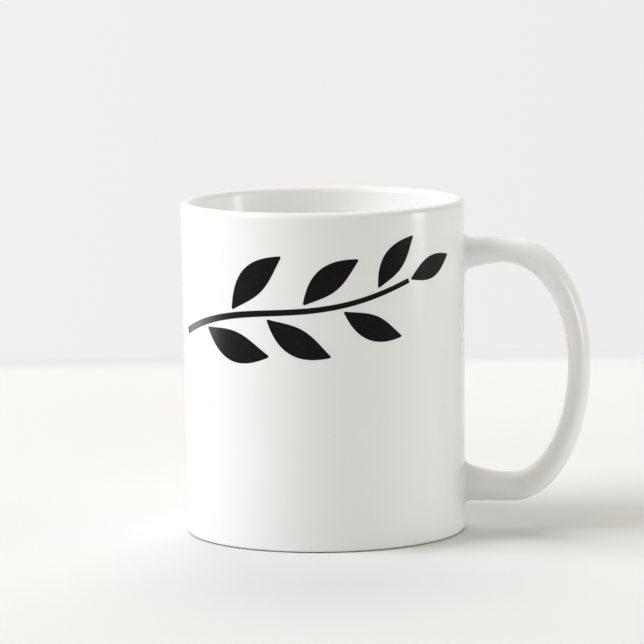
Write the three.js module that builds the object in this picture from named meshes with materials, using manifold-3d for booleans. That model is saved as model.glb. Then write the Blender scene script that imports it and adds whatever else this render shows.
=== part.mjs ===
// A straight-sided ceramic mug: a clay cup, a clay handle stuck on with slip, glaze and a printed sprig.
// Millimetres, +Z up. The origin is the middle of the footprint, on the surface that the mug stands on.

import * as THREE from 'three';
import { mergeVertices } from 'three/addons/utils/BufferGeometryUtils.js';
import Module from 'manifold-3d';

const wasm = await Module();
wasm.setup();

// Cup, measured over its glaze
const height = 96.2;
const lipDiameter = 82;
const wallTaper = 0.7;
const lipWall = 3.6;
const floorWall = 5.2;
const floorThickness = 6;
const floorCornerRadius = 9;

// Foot ring, which stays bare clay
const footEdgeRadius = 0.9;
const footRingWidth = 3.8;
const recessDepth = 1.8;
const recessDraft = 1.2;

// Handle, measured over its glaze: drop is below the lip, rise is above the table, reach is from the wall
const handleDrop = 11.2;
const handleRise = 8.2;
const handleReach = 36.4;
const gripHeight = 49;
const topThickness = 7.4;
const gripThickness = 6.6;
const bottomThickness = 8.2;
const rootWidth = 13.5;
const gripWidth = 11.5;

// Level runs from the wall to where the handle starts to bend, on its outer and inner side
const topOuterRun = 14;
const topInnerRun = 11;
const bottomOuterRun = 14;
const bottomInnerRun = 13.6;

// How much thicker the handle grows on its inner side where it enters the wall
const topRootFlare = 4.4;
const bottomRootFlare = 4.6;

// Slip joints: the bond between the clay wall and the clay handle, and the fillet that is squeezed out
const bondLine = 0.6;
const slipFillet = 2;

// Glaze: its thickness, the bare strip above the table and the hairline gap between touching bodies
const glaze = 0.3;
const glazeLine = 0.35;
const hairline = 0.05;

// Printed sprig: its middle is at a bearing from the handle and a drop below the lip, and its stem wraps
// round so many degrees of the wall
const printBearing = -103;
const printDrop = 28;
const printWrap = 108;
const inkThickness = 0.1;
const stemRise = 16;
const stemBow = 1.8;
const stemWidth = 2;
const leafLength = 24;
const leafWidth = 9;
const leafTipWidth = 0.6;
const leafSpacing = 3;
const leafGap = 0.9;
const leafAngle = 46;
const leafBend = 24;
const leafTaper = 0.3;

// How finely the round shapes are cut
const cupSegments = 60;
const edgeSteps = 4;
const cornerSteps = 5;
const rootSteps = 4;
const bendSteps = 10;
const handleSides = 16;
const filletSteps = 4;
const stemSteps = 36;
const leafSteps = 10;
const leafColumns = 4;

const radians = THREE.MathUtils.degToRad;
const lerp = THREE.MathUtils.lerp;
const point = (x, y) => new THREE.Vector2(x, y);

// Sizes that follow from those above
const lipRadius = lipDiameter / 2;
const footRadius = lipRadius - wallTaper;
const lipRound = lipWall / 2;
const crestRadius = lipRadius - lipRound;
const floorHeight = recessDepth + floorThickness;
const footFlatRadius = footRadius - glaze - footEdgeRadius;
const recessRadius = footFlatRadius - footRingWidth;
const handleTop = height - handleDrop;
const rootDepth = lipWall;
const printHeight = height - printDrop;
const stemSpan = radians(printWrap) * lipRadius;
const leafPitch = (leafWidth + leafSpacing) / (2 * Math.sin(radians(leafAngle - leafBend / 2)));
const leafCount = Math.floor(stemSpan / leafPitch);

const clay = new THREE.MeshStandardMaterial({ color: 0xe8e2d6, roughness: 0.85, metalness: 0 });
const slip = new THREE.MeshStandardMaterial({ color: 0xe4ddd0, roughness: 0.9, metalness: 0 });
const whiteGlaze = new THREE.MeshStandardMaterial({ color: 0xf3f2ef, roughness: 0.1, metalness: 0 });
const blackInk = new THREE.MeshStandardMaterial({ color: 0x0c0c0d, roughness: 0.2, metalness: 0 });

// Points along an elliptical arc, with its angles in degrees
function arc(centreX, centreY, radiusX, radiusY, from, to, steps) {
  const angles = [radians(from), radians(to), to < from];
  return new THREE.EllipseCurve(centreX, centreY, radiusX, radiusY, ...angles).getPoints(steps);
}

// A profile of radius and height, turned about the cup's axis
function turned(profile) {
  return new THREE.LatheGeometry(profile, cupSegments).rotateX(Math.PI / 2);
}

// A closed body through rings of points, which run right-handed about the way the rings follow each other
function lofted(rings) {
  const around = rings[0].length;
  const positions = rings.flat().flatMap((p) => [p.x, p.y, p.z]);
  const index = [];
  const quad = (a, b, c, d) => index.push(a, b, c, a, c, d);
  for (let ring = 0; ring + 1 < rings.length; ring++) {
    for (let side = 0; side < around; side++) {
      const here = ring * around;
      const next = (side + 1) % around;
      quad(here + side, here + next, here + around + next, here + around + side);
    }
  }
  const last = (rings.length - 1) * around;
  for (let side = 0; side + 1 < around / 2; side++) {
    const opposite = around - 1 - side;
    quad(side, opposite, opposite - 1, side + 1);
    quad(last + side, last + side + 1, last + opposite - 1, last + opposite);
  }
  const geometry = new THREE.BufferGeometry();
  geometry.setAttribute('position', new THREE.Float32BufferAttribute(positions, 3));
  geometry.setIndex(index);
  return geometry;
}

// A geometry as a solid that can be joined and cut
function solid(geometry) {
  geometry.deleteAttribute('normal');
  geometry.deleteAttribute('uv');
  const merged = mergeVertices(geometry);
  const corners = merged.index.array;
  const triVerts = [];
  for (let i = 0; i < corners.length; i += 3) {
    const [a, b, c] = corners.slice(i, i + 3);
    if (a !== b && b !== c && c !== a) triVerts.push(a, b, c);
  }
  return new wasm.Manifold(new wasm.Mesh({
    numProp: 3,
    vertProperties: Float32Array.from(merged.attributes.position.array),
    triVerts: Uint32Array.from(triVerts),
  }));
}

// A solid as a geometry again
function shape(body) {
  const mesh = body.getMesh();
  const geometry = new THREE.BufferGeometry();
  geometry.setAttribute('position', new THREE.BufferAttribute(mesh.vertProperties, 3));
  geometry.setIndex(new THREE.BufferAttribute(mesh.triVerts, 1));
  return geometry;
}

// Radius of the glazed wall at a height
function wallRadius(z) {
  return lerp(footRadius, lipRadius, (z - footEdgeRadius) / (height - lipRound - footEdgeRadius));
}

// The cup's outside at a depth under the glaze: the edge of the foot, the wall and the lip up to its crest
function outsideProfile(depth) {
  const footEdge = footEdgeRadius + glaze - depth;
  const lipEdge = lipRound - depth;
  return [
    ...arc(footFlatRadius, footEdgeRadius, footEdge, footEdge, -90, 0, edgeSteps),
    ...arc(crestRadius, height - lipRound, lipEdge, lipEdge, 0, 90, edgeSteps),
  ];
}

// The cup's inside at a depth under the glaze: from the crest of the lip down to the middle of the floor
function insideProfile(depth) {
  const lipEdge = lipRound - depth;
  const corner = floorCornerRadius + depth;
  const cornerX = footRadius - floorWall - floorCornerRadius;
  const cornerY = floorHeight + floorCornerRadius;
  return [
    ...arc(crestRadius, height - lipRound, lipEdge, lipEdge, 90, 180, edgeSteps),
    ...arc(cornerX, cornerY, corner, corner, 0, -90, cornerSteps),
    point(0, floorHeight - depth),
  ];
}

// The cup's outside as a filled block, for cutting what meets the wall
function filledCup(depth) {
  const profile = outsideProfile(depth);
  const bottom = profile[0];
  const crest = profile[profile.length - 1];
  return solid(turned([point(0, bottom.y), ...profile, point(0, crest.y)]));
}

function cupGeometry() {
  const recessRoof = recessDepth + glaze;
  return turned([
    point(0, recessRoof),
    point(recessRadius - recessDraft, recessRoof),
    point(recessRadius, 0),
    ...outsideProfile(glaze),
    ...insideProfile(glaze).slice(1),
  ]);
}

// Each outline of the handle has a root at the top and one at the bottom, where it enters the wall
const topWall = wallRadius(handleTop - topThickness / 2);
const bottomWall = wallRadius(handleRise + bottomThickness / 2);
const gripReach = wallRadius(gripHeight) + handleReach;
const outerSide = {
  top: { level: handleTop, wall: topWall, run: topOuterRun, flare: 0 },
  bottom: { level: handleRise, wall: bottomWall, run: bottomOuterRun, flare: 0 },
  reach: gripReach,
};
const innerSide = {
  top: { level: handleTop - topThickness, wall: topWall, run: topInnerRun, flare: -topRootFlare },
  bottom: {
    level: handleRise + bottomThickness,
    wall: bottomWall,
    run: bottomInnerRun,
    flare: bottomRootFlare,
  },
  reach: gripReach - gripThickness,
};

// Height of a root's edge at x, with its flare growing from the bend to its end inside the wall
function rootHeight(root, x) {
  const fromBend = (root.wall + root.run - x) / (root.run + rootDepth);
  return root.level + root.flare * fromBend ** 2;
}

function rootPoints(root) {
  return Array.from({ length: rootSteps }, (_, step) => {
    const x = lerp(root.wall - rootDepth, root.wall + root.run, step / rootSteps);
    return point(x, rootHeight(root, x));
  });
}

// A quarter of an ellipse between the end of a root's level run and the back of the grip
function bend(side, root, from, to) {
  const centre = root.wall + root.run;
  return arc(centre, gripHeight, side.reach - centre, Math.abs(root.level - gripHeight), from, to, bendSteps);
}

// One outline, from inside the wall at the top, round the grip and back into the wall
function handleOutline(side) {
  return [
    ...rootPoints(side.top),
    ...bend(side, side.top, 90, 0),
    ...bend(side, side.bottom, 0, -90).slice(1),
    ...rootPoints(side.bottom).reverse(),
  ];
}

// An oval ring between two points of the outlines, as wide as it says, at a depth under the glaze
function ovalRing(outer, inner, width, depth, place) {
  const middle = outer.clone().add(inner).multiplyScalar(0.5);
  const across = outer.clone().sub(inner).multiplyScalar(0.5);
  const spread = across.clone().setLength(across.length() - depth);
  return Array.from({ length: handleSides }, (_, side) => {
    const turn = (2 * Math.PI * side) / handleSides;
    const onPlane = middle.clone().addScaledVector(spread, Math.cos(turn));
    return place(onPlane.x, -(width / 2 - depth) * Math.sin(turn), onPlane.y);
  });
}

const upright = (x, y, z) => new THREE.Vector3(x, y, z);

// A point at a bearing round the cup's axis, in radians
const atBearing = (radius, bearing, z) =>
  new THREE.Vector3(radius * Math.cos(bearing), radius * Math.sin(bearing), z);

// A point with its sideways offset laid along the round of the wall
const wrapped = (radius, y, z) => atBearing(radius, y / radius, z);

// The whole loop, with both ends inside the wall
function handleLoop(depth) {
  const outer = handleOutline(outerSide);
  const inner = handleOutline(innerSide);
  const last = outer.length - 1;
  const rings = outer.map((edge, step) => {
    const round = THREE.MathUtils.clamp((step - rootSteps) / (last - 2 * rootSteps), 0, 1);
    const width = lerp(rootWidth, gripWidth, Math.sin(Math.PI * round));
    return ovalRing(edge, inner[step], width, depth, upright);
  });
  return solid(lofted(rings));
}

// The slip round one end of the handle: rings that widen in a fillet and run on into the wall
function slipCollar(upperRoot, lowerRoot, depth) {
  const wall = upperRoot.wall - depth;
  const fillet = arc(slipFillet, slipFillet, slipFillet, slipFillet, 180, 270, filletSteps);
  const stations = [point(-rootDepth, slipFillet), ...fillet];
  const rings = stations.map(({ x: clear, y: swell }) => {
    const radius = wall + clear;
    const top = point(radius, rootHeight(upperRoot, radius) + swell - glaze);
    const bottom = point(radius, rootHeight(lowerRoot, radius) - swell + glaze);
    return ovalRing(top, bottom, rootWidth + 2 * (swell - glaze), depth - glaze, wrapped);
  });
  return solid(lofted(rings));
}

const upperCollar = (depth) => slipCollar(outerSide.top, innerSide.top, depth);
const lowerCollar = (depth) => slipCollar(innerSide.bottom, outerSide.bottom, depth);

function handleGeometry() {
  return shape(handleLoop(glaze).subtract(filledCup(glaze - bondLine)));
}

function slipGeometry(collar) {
  const seated = handleLoop(glaze - hairline).subtract(filledCup(glaze - bondLine + hairline));
  return shape(collar(glaze).subtract(filledCup(glaze - hairline)).subtract(seated));
}

// Everything that the outer glaze covers, at a depth under its surface
function dipped(depth) {
  return filledCup(depth).add(handleLoop(depth)).add(upperCollar(depth)).add(lowerCollar(depth));
}

// A plain cylinder on the cup's axis, between two heights
function drum(radius, bottom, top) {
  const cylinder = new THREE.CylinderGeometry(radius, radius, top - bottom, cupSegments);
  return solid(cylinder.rotateX(Math.PI / 2).translate(0, 0, (bottom + top) / 2));
}

// The dipped coat is open at the mouth, where the inner glaze takes over, and wiped off the foot
function outerGlazeGeometry() {
  const coat = dipped(0).subtract(dipped(glaze - hairline));
  const mouth = drum(crestRadius + hairline, floorHeight, 2 * height);
  const wipedFoot = drum(lipDiameter, -height, glazeLine);
  return shape(coat.subtract(mouth).subtract(wipedFoot));
}

function innerGlazeGeometry() {
  return turned([...insideProfile(glaze - hairline).reverse(), ...insideProfile(0)]);
}

function baseGlazeGeometry() {
  const edge = recessRadius - recessDraft - hairline;
  const top = recessDepth + glaze - hairline;
  return turned([point(0, recessDepth), point(edge, recessDepth), point(edge, top), point(0, top)]);
}

// A strip of ink on the wall: middle and half width along its length, laid out flat
function inkStrip(steps, columns, middleAt, halfWidthAt) {
  const onWall = (flat, lift) => {
    const radius = wallRadius(flat.y) + hairline + lift;
    return atBearing(radius, radians(printBearing) + flat.x / lipRadius, flat.y);
  };
  const rings = [];
  for (let step = 0; step <= steps; step++) {
    const along = step / steps;
    const { place, heading } = middleAt(along);
    const across = point(Math.sin(heading), -Math.cos(heading)).multiplyScalar(halfWidthAt(along));
    const row = Array.from({ length: columns + 1 }, (_, column) =>
      place.clone().addScaledVector(across, (2 * column) / columns - 1));
    const face = row.map((flat) => onWall(flat, inkThickness));
    const back = row.map((flat) => onWall(flat, 0));
    rings.push([...face, ...back.reverse()]);
  }
  return lofted(rings);
}

// The stem runs uphill in a gentle S
function stemAt(along) {
  const phase = 2 * Math.PI * along;
  const x = (along - 0.5) * stemSpan;
  const y = printHeight + (along - 0.5) * stemRise + stemBow * Math.sin(phase);
  const climb = stemRise + 2 * Math.PI * stemBow * Math.cos(phase);
  return { place: point(x, y), heading: Math.atan2(climb, stemSpan) };
}

function stemGeometry() {
  const halfWidth = (along) => (stemWidth / 2) * (1 - leafTaper * along);
  return inkStrip(stemSteps, 1, stemAt, halfWidth);
}

// Leaves stand off the stem by turns on either side, smaller towards its tip, where the last one ends it
function leafGeometry(number) {
  const along = number / leafCount;
  const stem = stemAt(along);
  const ending = number === leafCount;
  const side = ending ? 0 : (-1) ** number;
  const size = 1 - leafTaper * along;
  const start = ending ? leafGap : (stemWidth / 2 + leafGap) / Math.sin(radians(leafAngle));
  const heading = stem.heading + side * radians(leafAngle);
  const turn = side * radians(leafBend);
  const leafAt = (reach) => {
    const chord = heading - (turn * reach) / 2;
    const out = point(Math.cos(chord), Math.sin(chord)).multiplyScalar(start + leafLength * size * reach);
    return { place: stem.place.clone().add(out), heading: heading - turn * reach };
  };
  const halfWidthAt = (reach) => lerp(leafTipWidth, leafWidth * size, Math.sin(Math.PI * reach)) / 2;
  return inkStrip(leafSteps, leafColumns, leafAt, halfWidthAt);
}

const mug = new THREE.Group();

function addPart(name, geometry, material) {
  const mesh = new THREE.Mesh(geometry, material);
  mesh.name = name;
  mug.add(mesh);
}

addPart('cup', cupGeometry(), clay);
addPart('handle', handleGeometry(), clay);
addPart('upper_slip_joint', slipGeometry(upperCollar), slip);
addPart('lower_slip_joint', slipGeometry(lowerCollar), slip);
addPart('inner_glaze', innerGlazeGeometry(), whiteGlaze);
addPart('outer_glaze', outerGlazeGeometry(), whiteGlaze);
addPart('base_glaze', baseGlazeGeometry(), whiteGlaze);
addPart('print_stem', stemGeometry(), blackInk);
for (let number = 1; number <= leafCount; number++) {
  addPart(`print_leaf_${number}`, leafGeometry(number), blackInk);
}

// The cup's axis stands beside the origin, so that the handle's reach is shared out evenly
mug.position.x = (Math.max(lipRadius, footRadius) - gripReach) / 2;

export default mug;
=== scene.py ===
import math

import bmesh
import bpy
import numpy as np
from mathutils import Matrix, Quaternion, Vector


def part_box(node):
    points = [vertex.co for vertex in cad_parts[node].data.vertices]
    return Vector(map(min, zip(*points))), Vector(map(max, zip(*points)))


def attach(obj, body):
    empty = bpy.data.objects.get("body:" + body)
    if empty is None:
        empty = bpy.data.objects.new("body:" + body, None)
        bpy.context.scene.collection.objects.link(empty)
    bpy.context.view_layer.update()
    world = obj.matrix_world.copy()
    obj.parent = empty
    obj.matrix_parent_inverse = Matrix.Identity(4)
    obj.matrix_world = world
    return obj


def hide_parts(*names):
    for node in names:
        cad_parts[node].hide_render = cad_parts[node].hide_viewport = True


# A straight-sided white mug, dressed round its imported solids. Metres, +Z up, +X towards the handle.
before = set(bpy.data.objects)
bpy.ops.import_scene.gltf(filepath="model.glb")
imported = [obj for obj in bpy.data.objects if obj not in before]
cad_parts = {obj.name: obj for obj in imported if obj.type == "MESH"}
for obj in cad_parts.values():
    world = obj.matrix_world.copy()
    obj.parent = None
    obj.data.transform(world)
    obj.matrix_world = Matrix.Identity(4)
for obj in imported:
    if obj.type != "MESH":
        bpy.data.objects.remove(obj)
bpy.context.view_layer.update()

# Clay cup
# The body of the mug: pale stoneware, jiggered in a plaster mould, turned at the foot and fired.
# All of it is under glaze but the foot ring, which is wiped bare so that the mug doesn't stick to
# the kiln shelf.
mm = 0.001
height = 96.2 * mm
lip_radius = 41 * mm
foot_radius = 40.3 * mm
lip_wall = 3.6 * mm
lip_round = lip_wall / 2
crest_radius = lip_radius - lip_round
floor_wall = 5.2 * mm
floor_height = 7.8 * mm
floor_corner = 9 * mm
floor_corner_radius = foot_radius - floor_wall - floor_corner
clay_depth = 0.3 * mm
foot_round = 0.9 * mm
foot_ring_width = 3.8 * mm
foot_flat_radius = foot_radius - clay_depth - foot_round
recess_radius = foot_flat_radius - foot_ring_width
recess_roof = 2.1 * mm
recess_draft = 1.2 * mm
recess_edge = 0.5 * mm
axis_x = (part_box("cup")[0].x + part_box("cup")[1].x) / 2
turning_facets = 240
hidden_steps = 10
weld = 0.002 * mm
sharp_angle = math.radians(40)


def wall_radius(z):
    """Radius of the glazed wall at a height."""
    rise = (z - foot_round) / (height - lip_round - foot_round)
    return foot_radius + (lip_radius - foot_radius) * rise


def arc(across, up, radius, start, end, steps):
    """Points of an outline on a circle, each its distance from the axis and its height; degrees."""
    turns = np.radians(np.linspace(start, end, steps + 1))
    return [(across + radius * math.cos(turn), up + radius * math.sin(turn)) for turn in turns]


def straight(start, end, steps):
    """Points of an outline between two others, closer together near both, for even shading."""
    shares = (1 - np.cos(np.pi * np.arange(1, steps) / steps)) / 2
    return [tuple(np.add(start, np.subtract(end, start) * share)) for share in shares]


def outside_outline(depth, steps):
    """Edge of the foot, wall and outer half of the lip, at a depth under the face of the glaze."""
    foot = arc(foot_flat_radius, foot_round, foot_round + clay_depth - depth, -90, 0, steps)
    lip = arc(crest_radius, height - lip_round, lip_round - depth, 0, 90, steps)
    return foot + straight(foot[-1], lip[0], steps) + lip


def inside_outline(depth, steps):
    """Inner half of the lip, wall and floor up to the axis, at a depth under the face of the glaze."""
    lip = arc(crest_radius, height - lip_round, lip_round - depth, 90, 180, steps)
    corner_level = floor_height + floor_corner
    corner = arc(floor_corner_radius, corner_level, floor_corner + depth, 0, -90, steps)
    middle = (0, floor_height - depth)
    wall = straight(lip[-1], corner[0], steps)
    floor = straight(corner[-1], middle, steps // 2)
    return lip + wall + corner + floor + [middle]


def add(tree, kind, inputs=(), **settings):
    """A new node with its settings, and with a value or another node's output on inputs."""
    made = tree.nodes.new(kind)
    for name, value in settings.items():
        setattr(made, name, value)
    for place, value in dict(inputs).items():
        if isinstance(value, bpy.types.NodeSocket):
            tree.links.new(value, made.inputs[place])
        else:
            made.inputs[place].default_value = value
    return made


def result(tree, kind, inputs=(), **settings):
    """The first output of a new node."""
    return add(tree, kind, inputs, **settings).outputs[0]


def new_tree(name, sockets):
    """A geometry tree with named inputs, and the outputs of its group input by name."""
    tree = bpy.data.node_groups.new(name, "GeometryNodeTree")
    tree.interface.new_socket("Geometry", in_out="OUTPUT", socket_type="NodeSocketGeometry")
    for label, kind in sockets:
        tree.interface.new_socket(label, in_out="INPUT", socket_type=f"NodeSocket{kind}")
    return tree, add(tree, "NodeGroupInput").outputs


def end_tree(tree, geometry, finish):
    """The end of each tree: real instances, smooth shading but for sharp edges, and the material."""
    real = result(tree, "GeometryNodeRealizeInstances", {"Geometry": geometry})
    smooth = result(tree, "GeometryNodeSetShadeSmooth", {"Geometry": real, "Shade Smooth": True})
    angle = add(tree, "GeometryNodeInputMeshEdgeAngle").outputs["Unsigned Angle"]
    sharp = result(tree, "ShaderNodeMath", {0: angle, 1: sharp_angle}, operation="GREATER_THAN")
    shaded = result(
        tree,
        "GeometryNodeSetShadeSmooth",
        {"Geometry": smooth, "Selection": sharp, "Shade Smooth": False},
        domain="EDGE",
    )
    painted = result(tree, "GeometryNodeSetMaterial", {"Geometry": shaded, "Material": finish})
    add(tree, "NodeGroupOutput", {"Geometry": painted})


def grown(name, start, tree, sizes):
    """A piece that a tree makes from a starting mesh with these sizes, kept as a plain mesh."""
    piece = bpy.data.objects.new(name, start)
    bpy.context.scene.collection.objects.link(piece)
    modifier = piece.modifiers.new(tree.name, "NODES")
    modifier.node_group = tree
    for socket in tree.interface.items_tree:
        if socket.in_out == "INPUT" and socket.name in sizes:
            modifier[socket.identifier] = sizes[socket.name]
    made = piece.evaluated_get(bpy.context.evaluated_depsgraph_get())
    mesh = bpy.data.meshes.new_from_object(made)
    piece.modifiers.remove(modifier)
    piece.data = mesh
    return piece


# The wheel: each column of a grid is the outline, turned a little further about the axis
wheel, wheel_given = new_tree(
    "turned_on_the_wheel",
    [
        ("Outline", "Geometry"),
        ("Facets", "Int"),
        ("Axis X", "Float"),
        ("Weld", "Float"),
        ("Finish", "Material"),
    ],
)
outline = wheel_given["Outline"]
facets = wheel_given["Facets"]
outline_size = add(wheel, "GeometryNodeAttributeDomainSize", {"Geometry": outline})
outline_points = outline_size.outputs["Point Count"]
columns = result(wheel, "FunctionNodeIntegerMath", {0: facets, 1: 1}, operation="ADD")
sheet = result(wheel, "GeometryNodeMeshGrid", {"Vertices X": columns, "Vertices Y": outline_points})
number = result(wheel, "GeometryNodeInputIndex")
numbering = {0: number, 1: outline_points}
row = result(wheel, "FunctionNodeIntegerMath", numbering, operation="MODULO")
column = result(wheel, "FunctionNodeIntegerMath", numbering, operation="DIVIDE_FLOOR")
round_share = result(wheel, "ShaderNodeMath", {0: column, 1: facets}, operation="DIVIDE")
round_turn = result(wheel, "ShaderNodeMath", {0: round_share, 1: 2 * math.pi}, operation="MULTIPLY")
outline_spot = result(wheel, "GeometryNodeInputPosition")
on_outline = result(
    wheel,
    "GeometryNodeSampleIndex",
    {"Geometry": outline, "Value": outline_spot, "Index": row},
    data_type="FLOAT_VECTOR",
)
turned = result(
    wheel,
    "ShaderNodeVectorRotate",
    {"Vector": on_outline, "Angle": round_turn},
    rotation_type="Z_AXIS",
)
beside = result(wheel, "ShaderNodeCombineXYZ", {"X": wheel_given["Axis X"]})
placed = result(wheel, "ShaderNodeVectorMath", {0: turned, 1: beside}, operation="ADD")
wrapped = result(wheel, "GeometryNodeSetPosition", {"Geometry": sheet, "Position": placed})
welded = result(
    wheel,
    "GeometryNodeMergeByDistance",
    {"Geometry": wrapped, "Distance": wheel_given["Weld"]},
)
end_tree(wheel, welded, wheel_given["Finish"])


def turned_piece(name, outline, finish):
    """A closed piece from an outline that starts and ends on the axis and goes up on the outside."""
    start = bpy.data.meshes.new(name)
    start.from_pydata([(across, 0, up) for across, up in outline], [], [])
    sizes = {"Facets": turning_facets, "Axis X": axis_x, "Weld": weld, "Finish": finish}
    return grown(name, start, wheel, sizes)


def new_material(name, **constants):
    """A material with a Principled shader, its constant values set on the shader's own sockets."""
    material = bpy.data.materials.new(name)
    material.use_nodes = True
    shader = material.node_tree.nodes["Principled BSDF"]
    for socket, value in constants.items():
        shader.inputs[socket.replace("_", " ")].default_value = value
    return material, material.node_tree, shader


def ramp(tree, value, start, end, low=0, high=1):
    """A number that goes from low to high while a value goes from start to end, and stays there."""
    return result(
        tree,
        "ShaderNodeMapRange",
        {"Value": value, "From Min": start, "From Max": end, "To Min": low, "To Max": high},
    )


def noise(tree, scale, detail, low, high):
    """Noise on the piece's own coordinates, in features of 1/scale metres, from low to high."""
    cloud_low = 0.3
    cloud_high = 0.7
    spot = add(tree, "ShaderNodeTexCoord").outputs["Object"]
    cloud = result(tree, "ShaderNodeTexNoise", {"Vector": spot, "Scale": scale, "Detail": detail})
    return ramp(tree, cloud, cloud_low, cloud_high, low, high)


def blend(tree, share, first, second):
    """A colour that goes from the first to the second with a share from 0 to 1."""
    mixed = add(tree, "ShaderNodeMix", {"Factor": share}, data_type="RGBA")
    for place, colour in (("A_Color", first), ("B_Color", second)):
        socket = next(s for s in mixed.inputs if s.identifier == place)
        if isinstance(colour, bpy.types.NodeSocket):
            tree.links.new(colour, socket)
        else:
            socket.default_value = (*colour, 1)
    return next(s for s in mixed.outputs if s.identifier == "Result_Color")


def bump(tree, relief, depth, strength):
    """A surface normal that follows a relief of a depth in metres."""
    return result(
        tree, "ShaderNodeBump", {"Height": relief, "Distance": depth, "Strength": strength}
    )


def dress(tree, shader, colour, roughness, normal):
    """Links the patterns of a finish to its shader."""
    for socket, pattern in (("Base Color", colour), ("Roughness", roughness), ("Normal", normal)):
        tree.links.new(pattern, shader.inputs[socket])


fired_clay, clay_nodes, clay_shader = new_material("fired_clay", Specular_IOR_Level=0.3)
clay_grain = noise(clay_nodes, 2600, 3, 0, 1)
clay_cloud = noise(clay_nodes, 90, 4, 0, 1)
clay_tone = blend(clay_nodes, clay_cloud, (0.66, 0.59, 0.49), (0.74, 0.68, 0.58))
clay_specks = noise(clay_nodes, 1500, 2, -0.9, 0.7)
clay_colour = blend(clay_nodes, clay_specks, clay_tone, (0.5, 0.42, 0.33))
clay_roughness = noise(clay_nodes, 700, 2, 0.7, 0.92)
clay_bump = bump(clay_nodes, clay_grain, 0.08 * mm, 0.6)
dress(clay_nodes, clay_shader, clay_colour, clay_roughness, clay_bump)

recess_side = recess_radius - recess_draft
foot_outline = [
    (0, recess_roof),
    *straight((0, recess_roof), (recess_side, recess_roof), 6),
    *arc(recess_side - recess_edge, recess_roof - recess_edge, recess_edge, 90, 20, 5),
    *arc(recess_radius + recess_edge, recess_edge, recess_edge, 195, 270, 6),
]
clay_outside = outside_outline(clay_depth, hidden_steps)
clay_inside = inside_outline(clay_depth, hidden_steps)
clay_cup = turned_piece("clay_cup", foot_outline + clay_outside + clay_inside[1:], fired_clay)
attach(clay_cup, "root")
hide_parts("cup")

# Glaze coat
# White glaze, a quarter of a millimetre thick, poured inside and dipped outside, and melted to one
# skin over the lip. It is whiter inside, where it pools thicker and is also painted paler to stand in
# for the light inside, and a shade warmer where it runs thin on the lip and the foot, with painted
# shade on the lip's crest besides.
glaze_line = 0.35 * mm
hairline = 0.05 * mm
coat_back = clay_depth - hairline
face_steps = 20
inner_lip = crest_radius - lip_round

white_glaze, glaze_nodes, glaze_shader = new_material("white_glaze", IOR=1.5)
glaze_spot = add(glaze_nodes, "ShaderNodeTexCoord").outputs["Object"]
glaze_level = add(glaze_nodes, "ShaderNodeSeparateXYZ", {"Vector": glaze_spot}).outputs["Z"]
# Warmer and darker on the top of the lip: thin glaze, and painted shade standing in for weak light from
# above
thin_and_shaded_lip = ramp(glaze_nodes, glaze_level, height - lip_round, height, 0, 0.65)
thin_at_foot = ramp(glaze_nodes, glaze_level, 3 * glaze_line, glaze_line, 0, 0.5)
thin_glaze_and_lip_shade = result(glaze_nodes, "ShaderNodeMath", {0: thin_and_shaded_lip, 1: thin_at_foot}, operation="ADD")
beside_axis = result(
    glaze_nodes, "ShaderNodeVectorMath", {0: glaze_spot, 1: (-axis_x, 0, 0)}, operation="ADD"
)
level_spot = result(
    glaze_nodes, "ShaderNodeVectorMath", {0: beside_axis, 1: (1, 1, 0)}, operation="MULTIPLY"
)
from_axis = add(glaze_nodes, "ShaderNodeVectorMath", {0: level_spot}, operation="LENGTH")
# Whiter inside: glaze pooled thicker, and painted light that stands in for more light inside
pooled_and_painted_light = ramp(glaze_nodes, from_axis.outputs["Value"], inner_lip + lip_round / 2, inner_lip)
glaze_cloud = noise(glaze_nodes, 28, 3, 0, 1)
dipped_tone = blend(glaze_nodes, glaze_cloud, (0.88, 0.88, 0.876), (0.903, 0.903, 0.9))
glaze_tone = blend(glaze_nodes, pooled_and_painted_light, dipped_tone, (0.94, 0.94, 0.935))
glaze_colour = blend(glaze_nodes, thin_glaze_and_lip_shade, glaze_tone, (0.8, 0.77, 0.71))
glaze_roughness = noise(glaze_nodes, 40, 2, 0.12, 0.18)
glaze_ripple = bump(glaze_nodes, noise(glaze_nodes, 160, 1, 0, 1), 0.006 * mm, 0.5)
dress(glaze_nodes, glaze_shader, glaze_colour, glaze_roughness, glaze_ripple)


def above_line(outline):
    """The part of an outline that the wiping leaves glazed."""
    return [spot for spot in outline if spot[1] >= glaze_line]


coat_outline = [
    *reversed(inside_outline(coat_back, hidden_steps)),
    *reversed(above_line(outside_outline(coat_back, hidden_steps))[:-1]),
    *above_line(outside_outline(0, face_steps)),
    *inside_outline(0, face_steps)[1:],
]
glaze_coat = turned_piece("glaze_coat", coat_outline, white_glaze)
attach(glaze_coat, "root")
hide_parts("inner_glaze", "outer_glaze")

# Base glaze
# The patch of white glaze left in the recess under the base, inside the wiped ring. Its edge draws
# up into a soft round where the sponge stopped.
base_edge = recess_side - recess_edge - hairline
base_face = 1.8 * mm
base_back = recess_roof - hairline
base_round = (base_back - base_face) / 2
base_steps = 8
base_outline = [
    (0, base_face),
    *straight((0, base_face), (base_edge, base_face), base_steps),
    *arc(base_edge - base_round, base_face + base_round, base_round, -90, 90, base_steps),
    (0, base_back),
]
base_patch = turned_piece("base_glaze_patch", base_outline, white_glaze)
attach(base_patch, "root")
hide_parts("base_glaze")

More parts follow.
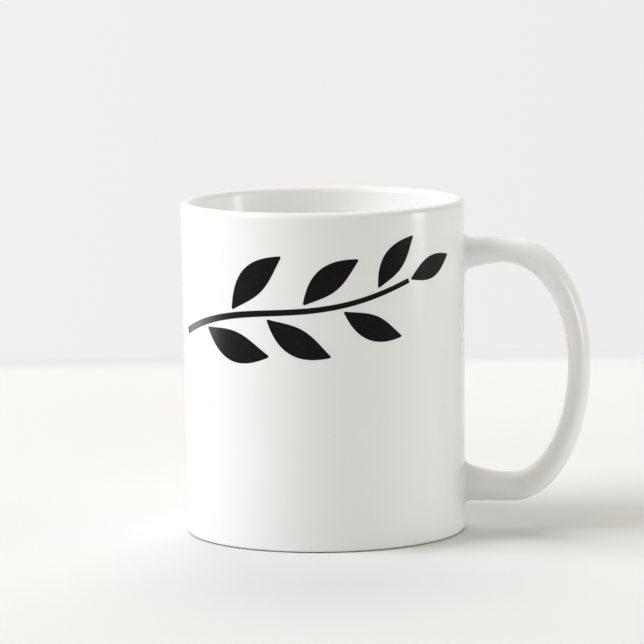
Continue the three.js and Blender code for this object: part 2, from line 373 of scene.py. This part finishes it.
# Handle
# A clay loop, cast by itself, trimmed to the round of the wall and stuck on with slip, whose fillet
# is sponged smooth. The glaze was dipped over loop, joints and wall at once, so no seam shows.
handle_top = 85 * mm
handle_rise = 8.2 * mm
grip_height = 49 * mm
top_thickness = 7.4 * mm
grip_thickness = 6.6 * mm
bottom_thickness = 8.2 * mm
root_width = 13.5 * mm
grip_width = 11.5 * mm
grip_reach = wall_radius(grip_height) + 36.4 * mm
top_wall = wall_radius(handle_top - top_thickness / 2)
bottom_wall = wall_radius(handle_rise + bottom_thickness / 2)
root_depth = lip_wall
fillet_clear = 1.7 * mm
fillet_sunk = 0.004 * mm
tuck = 0.2 * mm
handle_sides = 64
root_steps = 14
bend_steps = 44
fillet_steps = 12

# One edge of a root has the wall that it meets, its level, its run up to the bend, how far it
# flares at the wall, and the reach of the grip's edge that it leads to
outer_top = dict(wall=top_wall, level=handle_top, run=14 * mm, flare=0, reach=grip_reach)
inner_top = dict(
    wall=top_wall,
    level=handle_top - top_thickness,
    run=11 * mm,
    flare=-4.4 * mm,
    reach=grip_reach - grip_thickness,
)
outer_bottom = dict(wall=bottom_wall, level=handle_rise, run=14 * mm, flare=0, reach=grip_reach)
inner_bottom = dict(
    wall=bottom_wall,
    level=handle_rise + bottom_thickness,
    run=13.6 * mm,
    flare=4.6 * mm,
    reach=grip_reach - grip_thickness,
)
around = 2 * np.pi * np.arange(handle_sides) / handle_sides


def oval(outer, inner, width):
    """A ring of the loop between a point of its outer and one of its inner edge."""
    middle = np.add(outer, inner) / 2
    across = np.subtract(outer, inner) / 2
    flat = middle + across * np.cos(around)[:, None]
    return np.column_stack([flat[:, 0], -width / 2 * np.sin(around), flat[:, 1]])


def root_point(edge, clear):
    """A point of a root's edge, so far clear of the wall."""
    from_bend = (edge["run"] - clear) / (edge["run"] + root_depth)
    return edge["wall"] + clear, edge["level"] + edge["flare"] * from_bend**2


def root_ring(outer, inner, share):
    """A ring of a root between its fillet, at 0, and its bend, at 1, bowed to the wall near it."""
    ends = []
    for edge in (outer, inner):
        clear = fillet_clear + (edge["run"] - fillet_clear) * share
        ends.append(root_point(edge, clear))
    ring = oval(*ends, root_width)
    x, y, z = ring.T
    bowed = np.sqrt((x - outer["wall"] + wall_radius(z)) ** 2 - y**2)
    eased_share = share * share * (3 - 2 * share)
    ring[:, 0] = x + (bowed - x) * (1 - eased_share)
    return ring


def fillet_rings(outer, inner):
    """Rings from a root to the wall, each point on an arc that touches both, and one tucked in."""
    start = root_ring(outer, inner, 0)
    outer_lean, inner_lean = [
        2 * edge["flare"] * (edge["run"] - fillet_clear) / (edge["run"] + root_depth) ** 2
        for edge in (outer, inner)
    ]
    outer_level = root_point(outer, fillet_clear)[1]
    inner_level = root_point(inner, fillet_clear)[1]
    half_high = (outer_level - inner_level) / 2
    out = np.column_stack([-np.sin(around) / (root_width / 2), np.cos(around) / half_high])
    out /= np.linalg.norm(out, axis=1)[:, None]
    lean = (outer_lean + inner_lean) / 2 + (outer_lean - inner_lean) / 2 * np.cos(around)
    first_turn = np.arctan(lean * out[:, 1])
    radius = fillet_clear / (1 - np.sin(first_turn))
    rings = []
    for step in range(1, fillet_steps + 2):
        share = min(step / fillet_steps, 1)
        turn = first_turn + (np.pi / 2 - first_turn) * share
        clear = fillet_clear - radius * (np.sin(turn) - np.sin(first_turn)) - fillet_sunk * share
        swell = radius * (np.cos(first_turn) - np.cos(turn))
        y = start[:, 1] + swell * out[:, 0]
        z = start[:, 2] + swell * out[:, 1]
        inset = tuck if step > fillet_steps else 0
        ring_radius = wall_radius(z) + clear - inset
        rings.append(np.column_stack([np.sqrt(ring_radius**2 - y**2), y, z]))
    return rings


def bend_ring(outer, inner, turn, width):
    """A ring on the quarter ellipses from a root, at a right angle, to the grip's back, at none."""
    ends = []
    for edge in (outer, inner):
        centre = edge["wall"] + edge["run"]
        x = centre + (edge["reach"] - centre) * math.cos(turn)
        ends.append((x, grip_height + (edge["level"] - grip_height) * math.sin(turn)))
    return oval(*ends, width)


def root_rings(outer, inner):
    """All the rings of a root, from inside the wall to just before the bend."""
    level = [root_ring(outer, inner, step / root_steps) for step in range(root_steps)]
    return fillet_rings(outer, inner)[::-1] + level


def bend_rings(outer, inner):
    """The rings from a root to the middle of the grip, which is narrower than the roots."""
    rings = []
    for step in range(bend_steps + 1):
        share = step / bend_steps
        width = root_width + (grip_width - root_width) * math.sin(math.pi / 2 * share) ** 2
        rings.append(bend_ring(outer, inner, math.pi / 2 * (1 - share), width))
    return rings


upper_half = root_rings(outer_top, inner_top) + bend_rings(outer_top, inner_top)
lower_half = root_rings(outer_bottom, inner_bottom) + bend_rings(outer_bottom, inner_bottom)
loop = upper_half + lower_half[-2::-1]
handle_form = bmesh.new()
ring_corners = []
for ring in loop:
    ring_corners.append([handle_form.verts.new(spot + np.array((axis_x, 0, 0))) for spot in ring])
for here, beyond in zip(ring_corners, ring_corners[1:]):
    for side in range(handle_sides):
        corners = (here[side - 1], here[side], beyond[side], beyond[side - 1])
        handle_form.faces.new(corners).smooth = True
upper_end = ring_corners[:2]
lower_end = ring_corners[:-3:-1]
for tucked, landed in (upper_end, lower_end):
    handle_form.faces.new(tucked)
    for side in range(handle_sides):
        handle_form.edges.get((landed[side - 1], landed[side])).smooth = False
bmesh.ops.recalc_face_normals(handle_form, faces=handle_form.faces)
handle_mesh = bpy.data.meshes.new("glazed_handle")
handle_form.to_mesh(handle_mesh)
handle_form.free()
handle_mesh.materials.append(white_glaze)
glazed_handle = bpy.data.objects.new("glazed_handle", handle_mesh)
bpy.context.scene.collection.objects.link(glazed_handle)
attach(glazed_handle, "root")
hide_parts("handle", "upper_slip_joint", "lower_slip_joint")

# Printed sprig
# A stem with leaves by turns on either side, in black ceramic ink: screen printed on a transfer,
# slid onto the glazed wall and fired on. The film lies on the round of the wall and can just be felt.
leaf_count = sum(name.startswith("print_leaf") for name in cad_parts)
ink_film = 0.03 * mm
ink_sunk = 0.01 * mm
stem_rows = 121
stem_columns = 3
leaf_rows = 25
leaf_columns = 9
sprig_sizes = {
    "Leaf count": leaf_count,
    "Stem span": math.radians(108) * lip_radius,
    "Stem rise": 16 * mm,
    "Stem bow": 1.8 * mm,
    "Stem width": 2 * mm,
    "Leaf length": 24 * mm,
    "Leaf width": 9 * mm,
    "Tip width": 0.6 * mm,
    "Leaf angle": math.radians(46),
    "Leaf bend": math.radians(24),
    "Leaf gap": 0.9 * mm,
    "Taper": 0.3,
    "Film": ink_film + ink_sunk,
    "Sunk": ink_sunk,
    "Print height": height - 28 * mm,
    "Bearing": math.radians(-103),
    "Lip radius": lip_radius,
    "Foot radius": foot_radius,
    "Foot level": foot_round,
    "Lip level": height - lip_round,
    "Axis X": axis_x,
}

black_ink, ink_nodes, ink_shader = new_material("black_ink", Specular_IOR_Level=0.12)
ink_cloud = noise(ink_nodes, 900, 2, 0, 1)
ink_colour = blend(ink_nodes, ink_cloud, (0.0012, 0.0012, 0.0013), (0.0035, 0.0035, 0.0038))
ink_roughness = noise(ink_nodes, 300, 2, 0.3, 0.4)
ink_bump = bump(ink_nodes, noise(ink_nodes, 2400, 2, 0, 1), 0.004 * mm, 0.4)
dress(ink_nodes, ink_shader, ink_colour, ink_roughness, ink_bump)

sprig, given = new_tree(
    "printed_sprig",
    [("Blank", "Geometry"), ("Leaf count", "Int")]
    + [(size, "Float") for size in sprig_sizes if size != "Leaf count"]
    + [("Finish", "Material")],
)


def sum_up(operation, *values):
    """A sum in the sprig's tree."""
    return result(sprig, "ShaderNodeMath", dict(enumerate(values)), operation=operation)


def spot_at(x, y):
    """A flat place in the sprig's tree."""
    return result(sprig, "ShaderNodeCombineXYZ", {"X": x, "Y": y})


def swung(spot, angle):
    """A place turned about the origin of the flat print."""
    turned_by = {"Vector": spot, "Angle": angle}
    return result(sprig, "ShaderNodeVectorRotate", turned_by, rotation_type="Z_AXIS")


def shifted(spot, way):
    """A place moved by a way in the sprig's tree."""
    return result(sprig, "ShaderNodeVectorMath", {0: spot, 1: way}, operation="ADD")


def parts_of_place():
    """The X, Y and Z of each point in the sprig's tree."""
    place = result(sprig, "GeometryNodeInputPosition")
    return add(sprig, "ShaderNodeSeparateXYZ", {"Vector": place}).outputs


def stem_rule(share):
    """Place and heading of the stem, a gentle S uphill, at a share of its length about the middle."""
    phase = sum_up("MULTIPLY_ADD", share, 2 * math.pi, math.pi)
    bow = sum_up("MULTIPLY", sum_up("SINE", phase), given["Stem bow"])
    rise = sum_up("MULTIPLY_ADD", share, given["Stem rise"], bow)
    turn_rate = sum_up("MULTIPLY", sum_up("COSINE", phase), 2 * math.pi)
    climb = sum_up("MULTIPLY_ADD", turn_rate, given["Stem bow"], given["Stem rise"])
    place = spot_at(sum_up("MULTIPLY", share, given["Stem span"]), rise)
    return place, sum_up("ARCTAN2", climb, given["Stem span"])


def laid(rows, columns_across, rule):
    """A flat strip: a grid whose lengthwise and sideways shares a rule turns into places."""
    strip = result(
        sprig,
        "GeometryNodeMeshGrid",
        {"Size X": 1, "Size Y": 1, "Vertices X": rows, "Vertices Y": columns_across},
    )
    shares = parts_of_place()
    place = rule(shares["X"], shares["Y"])
    return result(sprig, "GeometryNodeSetPosition", {"Geometry": strip, "Position": place})


def stem_place(along, across):
    """A place on the stem, which narrows towards its tip."""
    place, heading = stem_rule(along)
    narrowing = sum_up("MULTIPLY", sum_up("ADD", along, 0.5), given["Taper"])
    width = sum_up("MULTIPLY", given["Stem width"], sum_up("SUBTRACT", 1, narrowing))
    return shifted(place, swung(spot_at(0, sum_up("MULTIPLY", width, across)), heading))


def leaf_rule(bend):
    """The rule of a leaf, from its foot at the origin along X, with its tip turned back by a bend."""

    def leaf_place(along, across):
        reach = sum_up("ADD", along, 0.5)
        belly = sum_up("SINE", sum_up("MULTIPLY", reach, math.pi))
        swelling = sum_up("SUBTRACT", given["Leaf width"], given["Tip width"])
        width = sum_up("MULTIPLY_ADD", belly, swelling, given["Tip width"])
        turn = sum_up("MULTIPLY", sum_up("MULTIPLY", reach, bend), -1)
        straight_middle = spot_at(sum_up("MULTIPLY", reach, given["Leaf length"]), 0)
        middle = swung(straight_middle, sum_up("MULTIPLY", turn, 0.5))
        return shifted(middle, swung(spot_at(0, sum_up("MULTIPLY", width, across)), turn))

    return leaf_place


leaf_index = result(sprig, "GeometryNodeInputIndex")
leaf_number = sum_up("ADD", leaf_index, 1)
leaf_along = sum_up("DIVIDE", leaf_number, given["Leaf count"])
leaf_size = sum_up("SUBTRACT", 1, sum_up("MULTIPLY", leaf_along, given["Taper"]))
stem_spot, stem_heading = stem_rule(sum_up("SUBTRACT", leaf_along, 0.5))
at_tip = sum_up("COMPARE", leaf_number, given["Leaf count"], 0.5)
off_tip = sum_up("SUBTRACT", 1, at_tip)
above = sum_up("MULTIPLY", sum_up("MODULO", leaf_index, 2), off_tip)
below = sum_up("SUBTRACT", off_tip, above)
off_stem = sum_up("MULTIPLY_ADD", given["Stem width"], 0.5, given["Leaf gap"])
side_start = sum_up("DIVIDE", off_stem, sum_up("SINE", given["Leaf angle"]))
stations = result(sprig, "GeometryNodePoints", {"Count": given["Leaf count"]})


def leaves(chosen, side, start):
    """The leaves above the stem, where side is 1, below it, where it is -1, or at its tip, at 0."""
    bend = sum_up("MULTIPLY", given["Leaf bend"], side)
    heading = sum_up("MULTIPLY_ADD", given["Leaf angle"], side, stem_heading)
    foot = shifted(stem_spot, swung(spot_at(start, 0), heading))
    return result(
        sprig,
        "GeometryNodeInstanceOnPoints",
        {
            "Points": result(
                sprig, "GeometryNodeSetPosition", {"Geometry": stations, "Position": foot}
            ),
            "Selection": chosen,
            "Instance": laid(leaf_rows, leaf_columns, leaf_rule(bend)),
            "Rotation": result(sprig, "ShaderNodeCombineXYZ", {"Z": heading}),
            "Scale": leaf_size,
        },
    )


def joined(*parts):
    """Parts of the print as one geometry."""
    together = add(sprig, "GeometryNodeJoinGeometry")
    for part in parts:
        sprig.links.new(part, together.inputs[0])
    return together.outputs[0]


print_parts = joined(
    laid(stem_rows, stem_columns, stem_place),
    leaves(above, 1, side_start),
    leaves(below, -1, side_start),
    leaves(at_tip, 0, given["Leaf gap"]),
)
flat_print = result(sprig, "GeometryNodeRealizeInstances", {"Geometry": print_parts})
film_face = result(
    sprig,
    "GeometryNodeExtrudeMesh",
    {"Mesh": flat_print, "Offset Scale": given["Film"], "Individual": False},
)
film_back = result(sprig, "GeometryNodeFlipFaces", {"Mesh": flat_print})
film = joined(film_face, film_back)
closed_film = result(sprig, "GeometryNodeMergeByDistance", {"Geometry": film, "Distance": weld})

# The flat film is laid on the wall: its X becomes a bearing, its Y a height, its Z a depth
flat = parts_of_place()
print_level = sum_up("ADD", flat["Y"], given["Print height"])
print_wall = result(
    sprig,
    "ShaderNodeMapRange",
    {
        "Value": print_level,
        "From Min": given["Foot level"],
        "From Max": given["Lip level"],
        "To Min": given["Foot radius"],
        "To Max": given["Lip radius"],
    },
    clamp=False,
)
print_radius = sum_up("ADD", print_wall, sum_up("SUBTRACT", flat["Z"], given["Sunk"]))
upright = result(sprig, "ShaderNodeCombineXYZ", {"X": print_radius, "Z": print_level})
print_bearing = sum_up("ADD", sum_up("DIVIDE", flat["X"], given["Lip radius"]), given["Bearing"])
on_wall = shifted(swung(upright, print_bearing), spot_at(given["Axis X"], 0))
wrapped_print = result(
    sprig, "GeometryNodeSetPosition", {"Geometry": closed_film, "Position": on_wall}
)
end_tree(sprig, wrapped_print, given["Finish"])

blank = bpy.data.meshes.new("printed_sprig")
printed_sprig = grown("printed_sprig", blank, sprig, {**sprig_sizes, "Finish": black_ink})
leaf_nodes = [f"print_leaf_{number}" for number in range(1, leaf_count + 1)]
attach(printed_sprig, "root")
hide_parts("print_stem", *leaf_nodes)

# Camera
# Looks at the mug from a little above the lip and a little to the handle's side, through a long
# lens, and leans by less than a degree.
camera_bearing = math.radians(5)
camera_elevation = math.radians(8.041)
camera_distance = 1.1794
camera_roll = math.radians(-0.832)
aim_above = 12.21 * mm
aim_left = 0.55 * mm
mug_middle = Vector((axis_x, 0, height / 2))
to_camera = Vector((math.sin(camera_bearing), -math.cos(camera_bearing), 0))
to_right = Vector((math.cos(camera_bearing), math.sin(camera_bearing), 0))
camera_back = to_camera * math.cos(camera_elevation) + Vector((0, 0, math.sin(camera_elevation)))
camera_up = camera_back.cross(to_right)
aim = mug_middle + camera_up * aim_above - to_right * aim_left
lens = bpy.data.cameras.new("camera")
lens.sensor_width = 36
lens.lens = 227.4
camera = bpy.data.objects.new("camera", lens)
bpy.context.scene.collection.objects.link(camera)
camera.location = mug_middle + camera_back * camera_distance
camera.rotation_mode = "QUATERNION"
level_turn = (aim - camera.location).to_track_quat("-Z", "Y")
camera.rotation_quaternion = level_turn @ Quaternion((0, 0, 1), camera_roll)
bpy.context.scene.camera = camera

# Floor and light
# Stage: a pale table top, matt, painted a little darker to the left, under the big light, and paler
# to the right, where the mug's shadow falls, that fades, glowing, into a pale room behind the mug past
# a painted shadow band. It is clear from below and inside the foot ring, so that the base can be seen
# from there. A large soft light stands on the left and a wide one on the right, with weak fills in
# front, behind and above.
table_back = 0.37
table_fade = 0.042
table_reach = 1.8
painted_ramp_left = -0.1
painted_ramp_right = 0.08
foot_middle = Vector((axis_x, 0, 0))
table_corners = [
    foot_middle + to_right * side - to_camera * depth
    for side, depth in (
        (-table_reach, -table_reach),
        (table_reach, -table_reach),
        (table_reach, table_back),
        (-table_reach, table_back),
    )
]
table_mesh = bpy.data.meshes.new("table_top")
table_mesh.from_pydata(table_corners, [], [(0, 1, 2, 3)])
table_top = bpy.data.objects.new("table_top", table_mesh)
bpy.context.scene.collection.objects.link(table_top)
table_paint = bpy.data.materials.new("table_paint")
table_paint.use_nodes = True
table_nodes = table_paint.node_tree
table_nodes.nodes.clear()
table_spot = add(table_nodes, "ShaderNodeTexCoord").outputs["Object"]


def table_measure(operation, other):
    """A length on the table: how far a spot lies along a way, or from another spot."""
    measure = add(table_nodes, "ShaderNodeVectorMath", {0: table_spot, 1: other}, operation=operation)
    return measure.outputs["Value"]


table_depth = table_measure("DOT_PRODUCT", -to_camera)
fade_start = table_back - table_fade
faded = result(
    table_nodes,
    "ShaderNodeMapRange",
    {"Value": table_depth, "From Min": fade_start, "From Max": table_back},
    interpolation_type="SMOOTHSTEP",
)
# A painted shadow band where the table meets the room, then the room's own pale tone at the back edge,
# all as glow
shadow_band_share = ramp(table_nodes, table_depth, table_back - table_fade / 3, table_back)
# Painted darker to the left, under the big light, and paler to the right, where the mug's shadow falls
painted_light_share = ramp(table_nodes, table_measure("DOT_PRODUCT", to_right), painted_ramp_left, painted_ramp_right)
table_colour_with_painted_light = blend(table_nodes, painted_light_share, (0.665, 0.67, 0.673), (0.695, 0.701, 0.705))
pale = result(table_nodes, "ShaderNodeBsdfDiffuse", {"Color": table_colour_with_painted_light})
haze_and_shadow_band_colour = blend(table_nodes, shadow_band_share, (0.8, 0.8, 0.8), (0.855, 0.855, 0.855))
haze_and_shadow_band = result(table_nodes, "ShaderNodeEmission", {"Color": haze_and_shadow_band_colour})
upper_side = result(table_nodes, "ShaderNodeMixShader", {0: faded, 1: pale, 2: haze_and_shadow_band})
unseen = result(table_nodes, "ShaderNodeBsdfTransparent")
from_below = add(table_nodes, "ShaderNodeNewGeometry").outputs["Backfacing"]
from_foot = table_measure("DISTANCE", foot_middle)
in_ring = result(
    table_nodes, "ShaderNodeMath", {0: from_foot, 1: recess_radius}, operation="LESS_THAN"
)
clear = result(table_nodes, "ShaderNodeMath", {0: from_below, 1: in_ring}, operation="MAXIMUM")
table_surface = result(table_nodes, "ShaderNodeMixShader", {0: clear, 1: upper_side, 2: unseen})
add(table_nodes, "ShaderNodeOutputMaterial", {"Surface": table_surface})
table_mesh.materials.append(table_paint)

# The room is pale where it is seen or mirrored, dimmer to the right and the front, and otherwise
# gives only a little light, most of it from well below the table
backdrop_paleness = 0.71
backdrop_dimming = 0.15
room = bpy.data.worlds.new("room")
bpy.context.scene.world = room
room.use_nodes = True
room_nodes = room.node_tree
room_nodes.nodes.clear()
ray = add(room_nodes, "ShaderNodeLightPath").outputs
seen = ray["Is Camera Ray"]
for other in ("Is Glossy Ray", "Is Transmission Ray"):
    seen = result(room_nodes, "ShaderNodeMath", {0: seen, 1: ray[other]}, operation="MAXIMUM")
room_way = add(room_nodes, "ShaderNodeTexCoord").outputs["Generated"]
dimmer_way = (to_right + to_camera) * backdrop_dimming
dimming = add(room_nodes, "ShaderNodeVectorMath", {0: room_way, 1: dimmer_way}, operation="DOT_PRODUCT")
paleness = result(
    room_nodes,
    "ShaderNodeMath",
    {0: backdrop_paleness, 1: dimming.outputs["Value"]},
    operation="SUBTRACT",
)
backdrop = result(
    room_nodes, "ShaderNodeBackground", {"Strength": paleness, "Color": (1, 1, 1, 1)}
)
room_height = add(room_nodes, "ShaderNodeSeparateXYZ", {"Vector": room_way}).outputs["Z"]
room_glow = ramp(room_nodes, room_height, -0.3, -0.6, 0.04, 0.6)
ambient = result(
    room_nodes, "ShaderNodeBackground", {"Color": (1, 0.97, 0.89, 1), "Strength": room_glow}
)
room_light = result(room_nodes, "ShaderNodeMixShader", {0: seen, 1: ambient, 2: backdrop})
add(room_nodes, "ShaderNodeOutputWorld", {"Surface": room_light})


def soft_light(name, tint, watts, bearing, lift, away, size):
    """An area light aimed at the mug's middle; degrees, the bearing to the right of the camera's."""
    turn = math.radians(bearing)
    raised = math.radians(lift)
    level_way = to_camera * math.cos(turn) + to_right * math.sin(turn)
    way = level_way * math.cos(raised) + Vector((0, 0, math.sin(raised)))
    panel = bpy.data.lights.new(name, "AREA")
    panel.shape = "RECTANGLE"
    panel.size, panel.size_y = size
    panel.energy = watts
    panel.color = tint
    lamp = bpy.data.objects.new(name, panel)
    bpy.context.scene.collection.objects.link(lamp)
    lamp.location = mug_middle + way * away
    lamp.rotation_euler = (-way).to_track_quat("-Z", "Y").to_euler()
    lamp.visible_camera = False
    return lamp


def shines_only_on(lamp, lit):
    """Keeps a lamp's light to one object."""
    receivers = bpy.data.collections.new(f"{lamp.name}_receivers")
    receivers.objects.link(lit)
    lamp.light_linking.receiver_collection = receivers


daylight = (0.975, 0.99, 1.035)
lamplight = (1.02, 0.985, 0.905)
warm_glow = (1.06, 0.985, 0.83)
side_glow = (1.005, 0.99, 0.955)
white = (1, 1, 1)
soft_light("left_light", daylight, watts=29.4, bearing=-81, lift=40, away=1.8, size=(1.05, 1))

# The fills don't show as reflections, and the one over the table lights nothing else
table_light = soft_light(
    "table_light", lamplight, watts=2.1, bearing=-40, lift=75, away=1.1, size=(0.7, 0.5)
)
shines_only_on(table_light, table_top)
fills = [
    table_light,
    soft_light("right_light", side_glow, watts=27.4, bearing=86, lift=10, away=2.2, size=(1.8, 1.2)),
    soft_light("front_light", warm_glow, watts=2.2, bearing=-22, lift=32, away=1.1, size=(0.7, 0.4)),
    soft_light("back_light", lamplight, watts=4.4, bearing=180, lift=50, away=1.1, size=(0.7, 0.5)),
    soft_light("low_back_light", lamplight, watts=2.3, bearing=180, lift=25, away=1.1, size=(0.7, 0.5)),
    soft_light("top_light", lamplight, watts=1.6, bearing=0, lift=88, away=1.1, size=(0.8, 0.6)),
]
for fill in fills:
    fill.visible_glossy = False

# The cards show only as reflections: a strip on the right of the wall, another under it, a glint on
# the far wall inside the lip, and a sheen on the left of the ink alone
glint_left = 24.6 * mm
glint_behind = 28.2 * mm
glint_height = 91 * mm
glint_spot = foot_middle - to_right * glint_left - to_camera * glint_behind
glint_spot.z = glint_height
glint_card = soft_light(
    "glint_card", daylight, watts=0.000055, bearing=130, lift=51.5, away=0.053, size=(0.005, 0.008)
)
glint_card.rotation_euler = (glint_spot - glint_card.location).to_track_quat("-Z", "Y").to_euler()
glint_card.data.spread = math.radians(50)
sheen_card = soft_light(
    "sheen_card", white, watts=1.5, bearing=-112, lift=-2, away=0.3, size=(0.2, 0.3)
)
shines_only_on(sheen_card, printed_sprig)
strip_card = soft_light(
    "strip_card", daylight, watts=0.3, bearing=80.5, lift=11.5, away=0.46, size=(0.1, 0.2)
)
low_strip_card = soft_light(
    "low_strip_card", daylight, watts=0.015, bearing=80.5, lift=-3.3, away=0.46, size=(0.1, 0.036)
)
for card in (glint_card, sheen_card, strip_card, low_strip_card):
    card.visible_diffuse = False
bpy.context.scene.view_settings.view_transform = "Standard"
